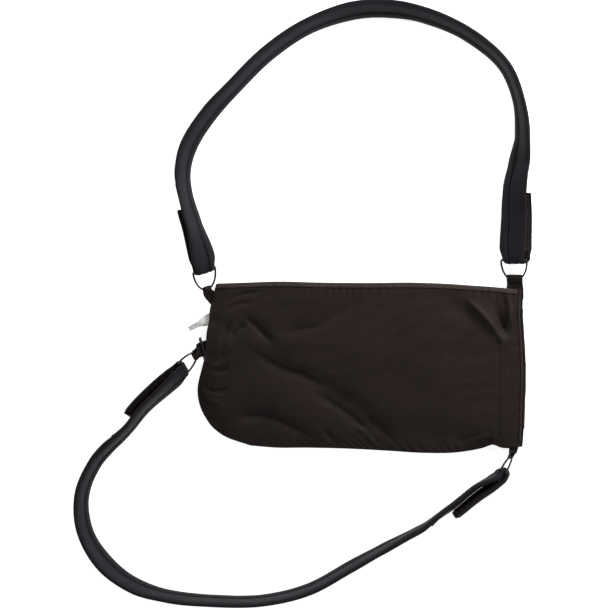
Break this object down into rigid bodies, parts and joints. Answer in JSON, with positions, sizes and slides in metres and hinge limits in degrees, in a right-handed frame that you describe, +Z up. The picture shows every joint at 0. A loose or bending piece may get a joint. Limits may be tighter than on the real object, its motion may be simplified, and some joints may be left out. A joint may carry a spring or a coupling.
{
  "type": "shoulder brace",
  "caption": "Arm sling with a cloth forearm pouch, open along its top and hand end, and two padded loops on D-rings for the neck and the waist.",
  "frame": {"origin": "centre of the footprint, on the floor that the brace lies on", "axes": "+X towards the hand end of the pouch, +Y towards the top of the shoulder loop, +Z up from the floor"},
  "size_m": [0.5576, 0.7402, 0.0357],
  "materials": {
    "cloth": "thin matt woven nylon",
    "binding": "woven edge binding, slightly lighter",
    "strap": "matt knit over padding",
    "webbing": "flat woven webbing",
    "metal": "dark gunmetal plating, bright where it catches the light",
    "loop": "brushed loop tape",
    "hook": "fine hook tape",
    "slide": "smooth moulded",
    "ribbon": "thin satin ribbon, blank"
  },
  "bodies": {
    "root": {"back_panel": "cloth", "front_panel": "cloth", "front_top_binding": "binding", "front_end_binding": "binding", "back_end_binding": "binding", "shoulder_strap": "strap", "waist_strap": "strap", "side_slide": "slide", "side_label": "ribbon", "tab_top_left": "webbing", "ring_top_left": "metal", "loop_patch_top_left": "loop", "hook_patch_top_left": "hook", "tab_top_right": "webbing", "ring_top_right": "metal", "loop_patch_top_right": "loop", "hook_patch_top_right": "hook", "tab_bottom_right": "webbing", "ring_bottom_right": "metal", "loop_patch_bottom_right": "loop", "hook_patch_bottom_right": "hook", "tab_side": "webbing", "ring_side": "metal", "loop_patch_side": "loop", "hook_patch_side": "hook"}
  },
  "joints": []
}
